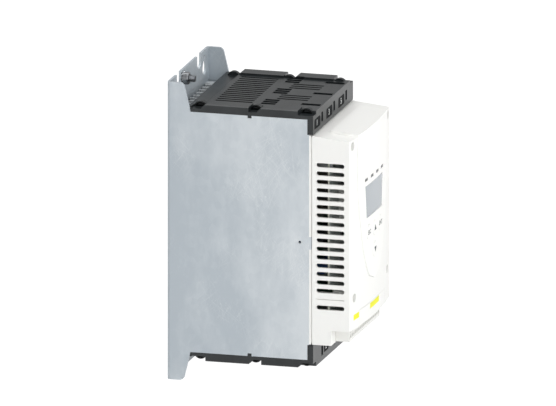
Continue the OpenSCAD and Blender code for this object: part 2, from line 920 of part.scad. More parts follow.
// Openings of each phase: cable entry, vent grid, screw slot and a recess for the marking field
module cover_phase_cuts(i, label, shift) {
    x = phase_x(i);
    box([x - entry_w / 2, x + entry_w / 2], [entry_d, entry_d + entry_l], [edge_z - 1, block_top_z + 1]);
    for (k = [-1:1])
        box([x + k * vent_pitch - grid_w / 2, x + k * vent_pitch + grid_w / 2],
            [grid_d, grid_d + grid_l], [edge_z - 1, block_top_z + 1]);
    box([x - screw_slot_w / 2, x + screw_slot_w / 2], [apron_d - apron_t - 1, apron_d + 1],
        [slot_z + shift - screw_slot_h / 2, slot_z + shift + screw_slot_h / 2]);
    label_form(x + label[0], label_z + shift, [apron_d - 1, apron_d + 1], label[1], 0);
}

// Black vented cover over one row of power terminals, drawn as the upper one: between its side rims
// a lower field holds the vents, and the underside is hollow there
module power_cover(bevel_front, label, front_z, shift) {
    difference() {
        union() {
            across([-half_w, half_w])
                polygon([
                    [cover_rear_d, edge_z],
                    [apron_d - apron_t, edge_z],
                    [apron_d - apron_t, apron_z],
                    [apron_d, apron_z],
                    [apron_d, cover_top_z],
                    [cover_rear_d, cover_top_z]
                ]);
            across([hood_in - half_w, half_w - hood_in])
                polygon([
                    [front_block_d + front_block_l - 1, cover_top_z - eps],
                    [apron_d, cover_top_z - eps],
                    [apron_d, front_z],
                    [front_block_d + front_block_l - 1, front_z]
                ]);
            box([-field_x, field_x], [rear_block_d, apron_d], [cover_top_z - eps, field_z]);
            cover_block(rear_block_d, rear_block_l, bevel_front);
            cover_block(front_block_d, front_block_l, bevel_front);
            cover_hoods(0);
            for (s = SIDES) {
                box(s > 0 ? [skirt_x - skirt_t, half_w] : [-half_w, skirt_t - skirt_x],
                    [lip_d + seat_gap, apron_d - apron_t + eps], [apron_z, edge_z + eps]);
                box(s > 0 ? [skirt_x - skirt_t, skirt_x] : [-skirt_x, skirt_t - skirt_x],
                    [ear_root_d + 1, lip_d + 1], [edge_z - skirt_h, edge_z + eps]);
                box(s > 0 ? [skirt_x - eps, half_w] : [-half_w, eps - skirt_x],
                    [hook_d - hook_w / 2 + slide_gap, hook_d + hook_w / 2 - slide_gap],
                    [edge_z - hook_h + slide_gap, edge_z + eps]);
            }
        }
        box([-field_x, field_x], [cover_rear_d, front_block_d + front_block_l + bevel_l],
            [field_z, block_top_z + 1]);
        box([-field_x, field_x], [cover_rear_d + cover_skin, apron_d - apron_t],
            [edge_z - 1, cover_top_z - cover_skin]);
        for (s = SIDES)
            along([cover_rear_d - 1, apron_d + 1])
                polygon([
                    [s * (half_w - rim_cut - 1), block_top_z + 1],
                    [s * (half_w + 1), block_top_z - rim_cut - 1],
                    [s * (half_w + 1), block_top_z + 1]
                ]);
        cover_vents();
        cover_mouths();
        cover_notches(bevel_front);
        for (i = PHASES)
            cover_phase_cuts(i, label, shift);
        for (s = SIDES)
            box(s > 0 ? [skirt_x, half_w + 1] : [-half_w - 1, -skirt_x], [0, ear_root_d + slide_gap],
                [edge_z - 1, cover_top_z + 1]);
    }
}

module top_cover() {
    color("#3c4042")
        power_cover(false, TOP_LABEL, field_z, 0);
}

module bottom_cover() {
    color("#3c4042")
        mirror([0, 0, 1])
            power_cover(true, LOW_LABEL, block_top_z, low_shift);
}

module label_plates() {
    color("#17181a")
        for (v = SIDES, i = PHASES) {
            label = v > 0 ? TOP_LABEL : LOW_LABEL;
            z = v > 0 ? label_z : -label_z - low_shift;
            label_form(phase_x(i) + label[0], z, [apron_d - 1, apron_d - 1 + label_t], label[1], seat_gap);
        }
}

// The housing's outside or, with an inset, its inside
module housing_form(inset) {
    rear = inset > 0 ? panel_d - 1 : panel_d;
    floor_z = inset - housing_z;
    intersection() {
        across([inset - half_w, half_w - inset])
            polygon([
                [rear, floor_z],
                [step_d - inset, floor_z],
                [step_d - inset, shelf_z + inset],
                [front_d, shelf_z + inset],
                [front_d, roof_z(front_d) - inset],
                [rear, roof_z(rear) - inset]
            ]);
        crown(shield_step + inset);
    }
}

module louvre(k) {
    z = louvre_z - k * louvre_pitch;
    r = louvre_h / 2;
    if (k == parting_louvre)
        for (s = SIDES)
            box([s * half_w - groove_depth, s * half_w + groove_depth], [louvre_d, louvre_d + louvre_l],
                [z - 0.4, z + 0.4]);
    else {
        box([-half_w - 1, half_w + 1], [louvre_d + r, louvre_d + louvre_l - r], [z - r, z + r]);
        for (d = [louvre_d + r, louvre_d + louvre_l - r])
            cross_rod([-half_w - 1, half_w + 1], d, z, r);
    }
}

module shield_outline(grow) {
    steps = 20;
    top = housing_z + 12;
    half = concat(
        [[shield_half + grow, top]],
        [for (k = [0:steps]) let (t = k / steps) [shield_x(t) + grow * (1 - t), shield_z(t) - grow * t]]
    );
    n = len(half);
    polygon(concat(half, [for (k = [2:n]) [-half[n - k][0], half[n - k][1]]]));
}

module flap_outline(grow) {
    translate([-flap_w / 2 - grow, shelf_z - 1])
        square([flap_w + 2 * grow, flap_z - shelf_z + 1 + grow]);
}

module insert_outline(x, grow) {
    translate([x[0] - grow, flap_z - 1 - insert_h - grow])
        square([x[1] - x[0] + 2 * grow, insert_h + 2 * grow]);
}

module groove_frame() {
    big = 2 * chassis_w;
    difference() {
        box([-big, big], [groove_d, groove_d + groove_w], [-chassis_h, chassis_h]);
        box([groove_depth - half_w, half_w - groove_depth], [groove_d - 1, groove_d + groove_w + 1],
            [groove_depth - housing_z, roof_z(groove_d) - groove_depth]);
    }
}

module front_housing() {
    deep = [step_d, front_d + 2];
    color("#f1f1ed")
        difference() {
            union() {
                difference() {
                    housing_form(0);
                    housing_form(wall);
                    groove_frame();
                    for (k = [0:louvre_n - 1])
                        louvre(k);
                    for (s = SIDES)
                        box([s * half_w - wall - 1, s * half_w + wall + 1],
                            [panel_d - 1, panel_d + tab_lead + seat_gap],
                            [tab_z[0] - seat_gap, tab_z[1] + seat_gap]);
                }
                intersection() {
                    for (w = WELLS) {
                        rod(w[0], w[1], [well_floor_d - boss_floor, front_d], boss_r);
                        rod(w[0], w[1], [panel_d, well_floor_d], column_r);
                    }
                    housing_form(0);
                }
            }
            for (w = WELLS) {
                rod(w[0], w[1], [panel_d - 1, front_d], housing_screw_r + 0.3);
                rod(w[0], w[1], [well_floor_d, front_d], well_bore / 2);
            }
            intersection() {
                along(deep)
                    shield_outline(seam_gap);
                crown_skin(shield_step - 1, cover_in + seat_gap);
            }
            along([step_d + 4, front_d + 2])
                intersection() {
                    shield_outline(-3.5);
                    translate([-half_w, -half_h])
                        square([chassis_w, half_h + lamp_z + 8]);
                }
            intersection() {
                along(deep)
                    flap_outline(seam_gap);
                crown_skin(shield_step - 1, shield_step + flap_t + seat_gap);
            }
            intersection() {
                along(deep)
                    insert_outline(insert_left, seat_gap);
                crown_skin(shield_step - 1, shield_step + insert_t + seat_gap);
            }
            box([terminal_x - slide_gap, terminal_x + terminal_w + slide_gap], [step_d - wall - 1, step_d + 1],
                [terminal_z - terminal_h / 2 - slide_gap, terminal_z + terminal_h / 2 + slide_gap]);
        }
}

module housing_screws() {
    color("#b9bcc0")
        for (w = WELLS)
            pan_screw(w[0], w[1], well_floor_d, panel_d - 5, 3.5, housing_screw_r, head_h);
}

module display_outline(grow) {
    polygon([
        [-display_w_low / 2 - grow, display_z - grow],
        [display_w_low / 2 + grow, display_z - grow],
        [display_w / 2 + grow, display_z + display_h + grow],
        [-display_w / 2 - grow, display_z + display_h + grow]
    ]);
}

module front_cover() {
    deep = [step_d, front_d + 2];
    color("#f7f7f4")
        difference() {
            intersection() {
                union() {
                    intersection() {
                        along(deep)
                            shield_outline(0);
                        crown_skin(0, cover_in);
                    }
                    across([-shield_half, shield_half])
                        polygon([
                            [tongue_d, roof_z(tongue_d) + seat_gap],
                            [front_d, roof_z(front_d) + seat_gap],
                            [front_d, roof_z(front_d) + tongue_h],
                            [tongue_d, roof_z(tongue_d) + tongue_h]
                        ]);
                }
                across([-half_w, half_w])
                    polygon([
                        [step_d - 10, shelf_z],
                        [front_d + 1, shelf_z],
                        [front_d + 1, roof_z(front_d + 1) + tongue_h],
                        [step_d - 10, roof_z(step_d - 10) + tongue_h]
                    ]);
                crown(0);
            }
            along(deep)
                display_outline(-1.5);
            intersection() {
                along(deep)
                    display_outline(seat_gap);
                crown_skin(-1, window_t + seat_gap);
            }
            for (k = KEYS)
                rod(k[0], k[1], deep, key_bore / 2 + key_gap);
            for (k = [-1.5:1.5])
                along(deep)
                    translate([k * lamp_pitch - lamp_w / 2 - seat_gap, lamp_z - lamp_h / 2 - seat_gap])
                        square([lamp_w + 2 * seat_gap, lamp_h + 2 * seat_gap]);
        }
}

module display_window() {
    color("#c6cbd4")
        intersection() {
            along([step_d, front_d + 2])
                display_outline(0);
            crown_skin(0.1, window_t);
        }
}

module display_glass() {
    color("#aeb8b0")
        box([-display_w / 2, display_w / 2], [holder_front_d, holder_front_d + glass_t],
            [display_z, display_z + display_h]);
}

// A tray that stands on the control board and carries the display cell
module display_holder() {
    half = display_w / 2 + holder_rim;
    z = [display_z - holder_rim / 2, display_z + display_h + holder_rim / 2];
    color("#e6e7e4")
        difference() {
            box([-half, half], [control_front_d, holder_front_d], z);
            box([holder_t - half, half - holder_t], [control_front_d + holder_t, holder_front_d - holder_t],
                [z[0] - 1, z[1] + 1]);
        }
}

module status_light_pipes() {
    color("#5c6b60")
        intersection() {
            for (k = [-1.5:1.5]) {
                x = k * lamp_pitch;
                box([x - lamp_w / 2, x + lamp_w / 2], [control_front_d, front_d],
                    [lamp_z - lamp_h / 2, lamp_z + lamp_h / 2]);
            }
            crown(0.05);
        }
}

// A key cap with its retaining flange and a stem that reaches towards its switch
module key_cap(x, z) {
    back_d = crown_d(abs(x) + key_bore / 2, cover_in);
    cap_d = crown_d(abs(x), 0) + key_proud;
    flange_d = back_d - slide_gap;
    tip_d = control_front_d + switch_h + plunger_h + key_travel + 0.15;
    color("#f4f4f1")
        translate([x, -tip_d, z])
            rotate([90, 0, 0])
                rotate_extrude()
                    polygon([
                        [0, 0],
                        [stem_r, 0],
                        [stem_r, flange_d - flange_t - tip_d],
                        [key_bore / 2 + 1, flange_d - flange_t - tip_d],
                        [key_bore / 2 + 1, flange_d - tip_d],
                        [key_bore / 2, flange_d - tip_d],
                        [key_bore / 2, cap_d - tip_d - 0.5],
                        [key_bore / 2 - 0.5, cap_d - tip_d],
                        [0, cap_d - tip_d]
                    ]);
}

module key_escape() {
    key_cap(-key_dx, key_z);
}

module key_up() {
    key_cap(0, key_z);
}

module key_enter() {
    key_cap(key_dx, key_z);
}

module key_down() {
    key_cap(0, key_z - key_dz);
}

module terminal_flap() {
    color("#f3f3ef")
        difference() {
            intersection() {
                along([step_d, front_d + 2])
                    flap_outline(0);
                crown_skin(shield_step, shield_step + flap_t);
                box([-half_w, half_w], [step_d, front_d + 2], [shelf_z, flap_z + 1]);
            }
            intersection() {
                along([step_d, front_d + 2])
                    insert_outline(insert_centre, seat_gap);
                crown_skin(shield_step - 1, shield_step + insert_t + seat_gap);
            }
        }
}

module marker_inserts() {
    color("#f7f74b")
        for (x = [insert_left, insert_centre])
            intersection() {
                along([step_d, front_d + 2])
                    insert_outline(x, 0);
                crown_skin(shield_step, shield_step + insert_t);
            }
}

function terminal_mid(k) = terminal_x + 1.3 + (k + 0.5) * terminal_pitch;

module control_terminal_block() {
    color("#eeeeea")
        difference() {
            box([terminal_x, terminal_x + terminal_w], [control_front_d, terminal_d],
                [terminal_z - terminal_h / 2, terminal_z + terminal_h / 2]);
            for (k = [0:terminals - 1]) {
                rod(terminal_mid(k), terminal_screw_z, [terminal_d - terminal_screw_l, terminal_d + 1],
                    terminal_screw_r + seat_gap);
                box([terminal_mid(k) - wire_w / 2, terminal_mid(k) + wire_w / 2],
                    [terminal_d - wire_l, terminal_d + 1], [wire_z - wire_h / 2, wire_z + wire_h / 2]);
            }
        }
}

module control_terminal_screws() {
    color("#b4b8bc")
        for (k = [0:terminals - 1])
            difference() {
                rod(terminal_mid(k), terminal_screw_z, [terminal_d - terminal_screw_l, terminal_d - 0.8],
                    terminal_screw_r);
                box([terminal_mid(k) - 2, terminal_mid(k) + 2], [terminal_d - 1.5, terminal_d],
                    [terminal_screw_z - 0.25, terminal_screw_z + 0.25]);
            }
}

chassis();
heat_sink();
heat_sink_screws();
earth_stud();
earth_washer();
earth_nut();
for (i = PHASES) {
    thyristor_module(i);
    busbar(i, 1);
    busbar(i, -1);
    bypass_relay(i);
    current_transformer(i);
    clamp(i, 1);
    clamp(i, -1);
}
thyristor_screws();
busbar_screws();
clamp_screws();
power_board();
board_pillars();
control_board();
control_pillars();
board_screws();
supply_transformer();
gate_transformers();
surge_absorbers();
output_relays();
board_connector();
key_switches();
top_cover();
bottom_cover();
label_plates();
front_housing();
housing_screws();
front_cover();
display_window();
display_glass();
display_holder();
status_light_pipes();
key_escape();
key_up();
key_enter();
key_down();
terminal_flap();
marker_inserts();
control_terminal_block();
control_terminal_screws();
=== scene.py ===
import json
import math

import bmesh
import bpy
from mathutils import Matrix, Vector

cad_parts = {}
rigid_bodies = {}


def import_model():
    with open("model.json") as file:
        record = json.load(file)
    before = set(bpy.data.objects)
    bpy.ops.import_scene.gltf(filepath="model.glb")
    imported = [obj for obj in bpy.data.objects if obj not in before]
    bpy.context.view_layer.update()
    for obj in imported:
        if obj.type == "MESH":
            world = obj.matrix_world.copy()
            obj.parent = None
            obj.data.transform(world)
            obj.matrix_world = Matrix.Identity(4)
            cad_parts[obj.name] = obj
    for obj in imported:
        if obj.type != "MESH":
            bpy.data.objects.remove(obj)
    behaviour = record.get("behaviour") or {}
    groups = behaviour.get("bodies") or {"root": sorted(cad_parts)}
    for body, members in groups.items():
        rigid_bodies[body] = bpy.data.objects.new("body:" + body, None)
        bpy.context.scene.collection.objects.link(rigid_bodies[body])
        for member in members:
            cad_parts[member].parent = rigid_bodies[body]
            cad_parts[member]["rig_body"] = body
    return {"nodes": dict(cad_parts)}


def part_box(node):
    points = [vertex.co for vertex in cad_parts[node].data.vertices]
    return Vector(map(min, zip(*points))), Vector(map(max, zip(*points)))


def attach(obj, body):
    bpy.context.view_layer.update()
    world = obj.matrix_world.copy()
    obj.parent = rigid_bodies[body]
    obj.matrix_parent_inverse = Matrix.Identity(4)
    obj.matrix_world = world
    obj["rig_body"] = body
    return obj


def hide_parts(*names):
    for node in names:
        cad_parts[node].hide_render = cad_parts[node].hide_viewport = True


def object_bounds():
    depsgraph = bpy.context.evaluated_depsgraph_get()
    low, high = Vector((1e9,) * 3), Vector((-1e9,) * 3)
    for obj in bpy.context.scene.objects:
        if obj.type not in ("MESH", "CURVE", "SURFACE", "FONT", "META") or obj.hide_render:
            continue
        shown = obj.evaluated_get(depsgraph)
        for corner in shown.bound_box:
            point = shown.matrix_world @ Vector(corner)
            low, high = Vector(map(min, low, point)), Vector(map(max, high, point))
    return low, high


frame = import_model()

cad_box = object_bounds()
nodes = frame["nodes"]
scene = bpy.context.scene


# Chassis: the back plate, both side panels and the four ears are folded from one sheet.
# It is hot-dip galvanised steel 2 mm thick, punched and bent, and hangs on four wall screws.
def linear(code):
    """An sRGB hex colour as the linear values that a shader socket takes."""
    shares = [int(code[i:i + 2], 16) / 255 for i in (1, 3, 5)]
    return tuple(c / 12.92 if c <= 0.04045 else ((c + 0.055) / 1.055) ** 2.4 for c in shares) + (1.0,)


def per_mm(size):
    """The texture scale that gives a pattern of this size in millimetres."""
    return 1000 / size


def add(tree, kind, inputs=None, links=None, **settings):
    """Adds a shader node with its own settings, its socket values and its links."""
    node = tree.nodes.new(kind)
    for name, value in settings.items():
        setattr(node, name, value)
    for name, value in (inputs or {}).items():
        node.inputs[name].default_value = value
    for name, source in (links or {}).items():
        tree.links.new(source, node.inputs[name])
    return node


def new_finish(name, colour, roughness, metallic=0.0):
    """A material with its shader set to constants, and the object coordinates for its patterns."""
    material = bpy.data.materials.new(name)
    material.use_nodes = True
    tree = material.node_tree
    shader = tree.nodes["Principled BSDF"]
    shader.inputs["Base Color"].default_value = linear(colour)
    shader.inputs["Roughness"].default_value = roughness
    shader.inputs["Metallic"].default_value = metallic
    place = add(tree, "ShaderNodeTexCoord").outputs["Object"]
    return material, tree, shader, place


def dress(material, *names):
    """Gives a finish to CAD nodes as they are."""
    for name in names:
        for slot in nodes[name].material_slots:
            slot.material = material


def soften(piece, spread=40):
    """Shades rounded edges softly and keeps flat faces flat, by normals weighted with the faces' areas."""
    faces = piece.data.polygons
    around = [[] for vert in piece.data.vertices]
    for face in faces:
        for corner in face.vertices:
            around[corner].append(face)
    near = math.cos(math.radians(spread))
    normals = []
    for face in faces:
        face.use_smooth = True
        for corner in face.vertices:
            shares = [f.area * f.normal for f in around[corner] if f.normal.dot(face.normal) > near]
            normals.append(sum(shares, Vector()).normalized())
    piece.data.normals_split_custom_set(normals)


def rounded_copy(name, material, radius, shortest, sharp=25, segments=2):
    """A copy of a CAD node whose long sharp edges are rounded, in millimetres. It stands for the node."""
    piece = bpy.data.objects.new(name + "_finished", bpy.data.meshes.new(name + "_finished"))
    scene.collection.objects.link(piece)
    mesh = bmesh.new()
    mesh.from_mesh(nodes[name].data)
    bmesh.ops.remove_doubles(mesh, verts=mesh.verts, dist=2e-6)
    bmesh.ops.dissolve_limit(mesh, angle_limit=math.radians(0.5), verts=mesh.verts, edges=mesh.edges)
    edges = [e for e in mesh.edges if len(e.link_faces) == 2 and e.calc_length() > shortest / 1000
             and e.calc_face_angle(0) > math.radians(sharp)]
    bmesh.ops.bevel(mesh, geom=edges, offset=radius / 1000, offset_type="OFFSET", affect="EDGES",
                    segments=segments, profile=0.5, material=-1, clamp_overlap=True)
    bmesh.ops.triangulate(mesh, faces=[f for f in mesh.faces if len(f.verts) > 4])
    mesh.to_mesh(piece.data)
    mesh.free()
    piece.data.materials.append(material)
    soften(piece)
    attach(piece, nodes[name]["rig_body"])
    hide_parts(name)
    return piece


def galvanised_steel():
    # Zinc freezes into flat crystals, so the sheet shows soft upright clouds and a faint spangle.
    # Painted shade: the sheet is darkened towards the back plate, where less light reaches it. Handling
    # leaves fine bright scratches and specks in some patches.
    material, tree, shader, place = new_finish("galvanised_steel", "#c2c9ce", 0.45, 0.15)
    upright = add(tree, "ShaderNodeMapping", {"Scale": (1, 1, 0.4)}, {"Vector": place}).outputs[0]
    cloud = add(tree, "ShaderNodeTexNoise", {"Scale": per_mm(40), "Detail": 5, "Roughness": 0.6},
                {"Vector": upright}).outputs[0]
    spangle = add(tree, "ShaderNodeTexVoronoi", {"Scale": per_mm(6), "Randomness": 1}, {"Vector": place})
    speck = add(tree, "ShaderNodeSeparateColor", None, {"Color": spangle.outputs["Color"]}).outputs[0]
    tone = add(tree, "ShaderNodeMath", {1: 0.07}, {0: speck}, operation="MULTIPLY").outputs[0]
    tone = add(tree, "ShaderNodeMath", None, {0: cloud, 1: tone}, operation="ADD").outputs[0]
    depth = add(tree, "ShaderNodeSeparateXYZ", None, {0: place}).outputs["Y"]
    # Painted shade: the colour gets darker towards the back plate and lighter towards the front.
    painted_shade = add(tree, "ShaderNodeMapRange",
               {"From Min": -0.12, "From Max": 0.0, "To Min": 0.1, "To Max": -0.17},
               {"Value": depth}).outputs[0]
    tone = add(tree, "ShaderNodeMath", None, {0: tone, 1: painted_shade}, operation="ADD").outputs[0]
    tone = add(tree, "ShaderNodeMapRange", {"From Min": 0.34, "From Max": 0.74}, {"Value": tone}).outputs[0]
    colour = add(tree, "ShaderNodeMix", {6: linear("#b3bcc3"), 7: linear("#d0d6da")}, {0: tone},
                 data_type="RGBA").outputs[2]
    patches = add(tree, "ShaderNodeTexNoise", {"Scale": per_mm(55), "Detail": 2},
                  {"Vector": place}).outputs[0]
    worn = add(tree, "ShaderNodeMapRange", {"From Min": 0.48, "From Max": 0.62},
               {"Value": patches}).outputs[0]
    dots = add(tree, "ShaderNodeTexNoise", {"Scale": per_mm(2.2), "Detail": 2}, {"Vector": place}).outputs[0]
    marks = [add(tree, "ShaderNodeMapRange", {"From Min": 0.66, "From Max": 0.74, "To Max": 0.4},
                 {"Value": dots}).outputs[0]]
    for turn in (0.8, -0.7, -1.2, 1.35):
        drawn = add(tree, "ShaderNodeMapping", {"Rotation": (turn, 0, 0), "Scale": (1.6, 16, 1)},
                    {"Vector": place}, vector_type="TEXTURE").outputs[0]
        lines = add(tree, "ShaderNodeTexVoronoi", {"Scale": per_mm(4)}, {"Vector": drawn},
                    feature="DISTANCE_TO_EDGE").outputs["Distance"]
        marks.append(add(tree, "ShaderNodeMapRange", {"From Min": 0.03, "From Max": 0.0, "To Max": 0.2},
                         {"Value": lines}).outputs[0])
    for mark in marks:
        share = add(tree, "ShaderNodeMath", None, {0: mark, 1: worn}, operation="MULTIPLY").outputs[0]
        colour = add(tree, "ShaderNodeMix", {7: linear("#e9ecec")}, {0: share, 6: colour},
                     data_type="RGBA").outputs[2]
    tree.links.new(colour, shader.inputs["Base Color"])
    rough = add(tree, "ShaderNodeMapRange", {"To Min": 0.38, "To Max": 0.52}, {"Value": tone}).outputs[0]
    tree.links.new(rough, shader.inputs["Roughness"])
    relief = add(tree, "ShaderNodeBump", {"Strength": 0.05, "Distance": 0.0004}, {"Height": cloud}).outputs[0]
    tree.links.new(relief, shader.inputs["Normal"])
    return material


rounded_copy("chassis", galvanised_steel(), 0.35, 3)


# Heat sink: a finned extrusion behind the power modules, screwed to the back plate from behind.
# Bare aluminium, pressed through a die, so fine lines run along its whole height.
def pressed_aluminium():
    # Die lines give the bare metal a fine upright brush and a soft stretched gloss.
    material, tree, shader, place = new_finish("pressed_aluminium", "#d5d8da", 0.4, 0.45)
    drawn = add(tree, "ShaderNodeMapping", {"Scale": (1, 1, 0.02)}, {"Vector": place}).outputs[0]
    lines = add(tree, "ShaderNodeTexNoise", {"Scale": per_mm(1.2), "Detail": 4}, {"Vector": drawn}).outputs[0]
    colour = add(tree, "ShaderNodeMix", {6: linear("#c8ccce"), 7: linear("#e0e2e3")}, {0: lines},
                 data_type="RGBA").outputs[2]
    tree.links.new(colour, shader.inputs["Base Color"])
    rough = add(tree, "ShaderNodeMapRange", {"To Min": 0.28, "To Max": 0.5}, {"Value": lines}).outputs[0]
    tree.links.new(rough, shader.inputs["Roughness"])
    return material


rounded_copy("heat_sink", pressed_aluminium(), 0.3, 8)


# Fasteners and clamps: screws, nuts, board pillars and the cable cages.
# Steel, cold-headed or stamped and bright zinc plated, driven home in their seats.
def zinc_plate():
    # Thin bright plating over steel, slightly mottled where it was handled.
    material, tree, shader, place = new_finish("zinc_plate", "#a3a6aa", 0.3, 1.0)
    mottle = add(tree, "ShaderNodeTexNoise", {"Scale": per_mm(2.5), "Detail": 3},
                 {"Vector": place}).outputs[0]
    colour = add(tree, "ShaderNodeMix", {6: linear("#85888c"), 7: linear("#bfc2c5")}, {0: mottle},
                 data_type="RGBA").outputs[2]
    tree.links.new(colour, shader.inputs["Base Color"])
    rough = add(tree, "ShaderNodeMapRange", {"To Min": 0.22, "To Max": 0.42}, {"Value": mottle}).outputs[0]
    tree.links.new(rough, shader.inputs["Roughness"])
    return material


PHASES = ("_1", "_2", "_3")
zinc = zinc_plate()
dress(zinc, "heat_sink_screws", "thyristor_screws", "busbar_screws", "clamp_screws", "board_screws",
      "housing_screws", "control_terminal_screws", "board_pillars", "control_pillars")
dress(zinc, *["line_clamp" + n for n in PHASES], *["load_clamp" + n for n in PHASES])


# Earth terminal: a stud pressed into the back plate, with a toothed washer and a nut.
# Zinc-plated steel. The thread is rolled, and the washer's teeth bite into the plate.
def new_piece(name, mesh, material, body):
    """Turns a bmesh into a piece that rides on a body."""
    bmesh.ops.recalc_face_normals(mesh, faces=mesh.faces)
    piece = bpy.data.objects.new(name, bpy.data.meshes.new(name))
    scene.collection.objects.link(piece)
    mesh.to_mesh(piece.data)
    mesh.free()
    piece.data.materials.append(material)
    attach(piece, body)
    return piece


def threaded_stud(name, pitch):
    """A rod along the depth with a helical thread, in the place of a plain CAD rod."""
    low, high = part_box(name)
    crest = (high.x - low.x) / 2
    root = crest - 0.6 * pitch
    axis = Vector(((low.x + high.x) / 2, 0, (low.z + high.z) / 2))
    mesh = bmesh.new()
    turns = int((high.y - low.y) / pitch) + 3
    chain = []
    for k in range(2 * turns + 1):
        reach = crest if k % 2 else root
        chain.append(mesh.verts.new((axis.x + reach, low.y - pitch + k * pitch / 2, axis.z)))
    edges = [mesh.edges.new(pair) for pair in zip(chain, chain[1:])]
    steps = 28
    bmesh.ops.spin(mesh, geom=chain + edges, cent=axis, axis=(0, 1, 0), dvec=(0, pitch / steps, 0),
                   angle=2 * math.pi, steps=steps, use_duplicate=False)
    bmesh.ops.remove_doubles(mesh, verts=mesh.verts, dist=pitch / 50)
    for y, side in ((low.y, -1), (high.y, 1)):
        cut = bmesh.ops.bisect_plane(mesh, geom=mesh.verts[:] + mesh.edges[:] + mesh.faces[:], dist=1e-7,
                                     plane_co=(0, y, 0), plane_no=(0, side, 0), clear_outer=True)
        rim = [e for e in cut["geom_cut"] if isinstance(e, bmesh.types.BMEdge)]
        bmesh.ops.holes_fill(mesh, edges=rim)
    return mesh


stud = new_piece("earth_stud_thread", threaded_stud("earth_stud", 0.001), zinc, "base")
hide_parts("earth_stud")


def toothed_washer(name, teeth):
    """A lock washer whose rim is cut into teeth that are twisted out of its plane."""
    low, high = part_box(name)
    centre = Vector(((low.x + high.x) / 2, (low.y + high.y) / 2, (low.z + high.z) / 2))
    reach = (high.x - low.x) / 2
    plate = 0.0007
    twist = (high.y - low.y) / 2 - plate / 2
    mesh = bmesh.new()
    rings = []
    for radius in (reach * 0.56, reach * 0.74, reach):
        ring = bmesh.ops.create_circle(mesh, segments=4 * teeth, radius=radius)["verts"]
        rings.append(ring)
    for k, vert in enumerate(rings[2]):
        share = k % 4
        vert.co.z = twist if share == 1 else -twist if share == 2 else 0
        if share in (0, 3):
            vert.co.xy *= 0.78
    loops = [[e for e in mesh.edges if all(v in ring for v in e.verts)] for ring in rings]
    for inner, outer in zip(loops, loops[1:]):
        bmesh.ops.bridge_loops(mesh, edges=inner + outer)
    bmesh.ops.recalc_face_normals(mesh, faces=mesh.faces)
    bmesh.ops.solidify(mesh, geom=mesh.faces[:], thickness=plate)
    bmesh.ops.transform(mesh, matrix=Matrix.Translation(centre) @ Matrix.Rotation(math.pi / 2, 4, "X"),
                        verts=mesh.verts)
    return mesh


washer = new_piece("earth_washer_toothed", toothed_washer("earth_washer", 12), zinc, "base")
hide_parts("earth_washer")
rounded_copy("earth_nut", zinc, 0.5, 2)


# Power modules, current transformers and board blocks: potted parts inside the chassis.
# Glass-filled thermoset and nylon, moulded in matt dark grey with a fine eroded grain.
def dark_moulding():
    # A matt dark grey with a fine grain, as a spark-eroded mould leaves it.
    material, tree, shader, place = new_finish("dark_moulding", "#33363a", 0.55)
    grain = add(tree, "ShaderNodeTexNoise", {"Scale": per_mm(0.8), "Detail": 3}, {"Vector": place}).outputs[0]
    relief = add(tree, "ShaderNodeBump", {"Strength": 0.2, "Distance": 0.0002}, {"Height": grain}).outputs[0]
    tree.links.new(relief, shader.inputs["Normal"])
    return material


dark = dark_moulding()
dress(dark, "gate_transformers", "board_connector", "key_switches")
for n in PHASES:
    rounded_copy("thyristor_module" + n, dark, 0.8, 4)
    rounded_copy("current_transformer" + n, dark, 0.6, 4)


# Busbars: cranked strips from each module to its cable cage, top and bottom.
# Bare copper, sheared and bent, with a warm satin face that has begun to brown.
def bare_copper():
    # Fresh copper with brown oxide clouds.
    material, tree, shader, place = new_finish("bare_copper", "#b87a4b", 0.34, 1.0)
    cloud = add(tree, "ShaderNodeTexNoise", {"Scale": per_mm(9), "Detail": 4}, {"Vector": place}).outputs[0]
    colour = add(tree, "ShaderNodeMix", {6: linear("#9a5c38"), 7: linear("#d0966a")}, {0: cloud},
                 data_type="RGBA").outputs[2]
    tree.links.new(colour, shader.inputs["Base Color"])
    return material


copper = bare_copper()
for n in PHASES:
    rounded_copy("line_busbar" + n, copper, 0.4, 4)
    rounded_copy("load_busbar" + n, copper, 0.4, 4)


# Bypass relays and surge absorbers: bought parts on the busbars and the power board.
# Blue glossy nylon cases, and discs dipped in blue epoxy.
def blue_case():
    # A smooth blue moulding with a slight orange-peel gloss.
    material, tree, shader, place = new_finish("blue_case", "#2b4a7c", 0.36)
    peel = add(tree, "ShaderNodeTexNoise", {"Scale": per_mm(3), "Detail": 2}, {"Vector": place}).outputs[0]
    relief = add(tree, "ShaderNodeBump", {"Strength": 0.08, "Distance": 0.0003}, {"Height": peel}).outputs[0]
    tree.links.new(relief, shader.inputs["Normal"])
    return material


blue = blue_case()
dress(blue, "surge_absorbers")
for n in PHASES:
    rounded_copy("bypass_relay" + n, blue, 0.8, 4)


# Circuit boards and their transformer: the power board, and the control board in front of it.
# Glass-epoxy laminate under solder resist, green on the one and white on the other, sawn to shape.
def solder_resist(name, ground, track):
    # A gloss lacquer with copper tracks showing through it in another tone.
    material, tree, shader, place = new_finish(name, ground, 0.35)
    tracks = add(tree, "ShaderNodeTexVoronoi", {"Scale": per_mm(5)}, {"Vector": place},
                 distance="MANHATTAN").outputs["Distance"]
    drawn = add(tree, "ShaderNodeMapRange", {"From Min": 0.42, "From Max": 0.46},
                {"Value": tracks}).outputs[0]
    colour = add(tree, "ShaderNodeMix", {6: linear(ground), 7: linear(track)}, {0: drawn},
                 data_type="RGBA").outputs[2]
    tree.links.new(colour, shader.inputs["Base Color"])
    return material


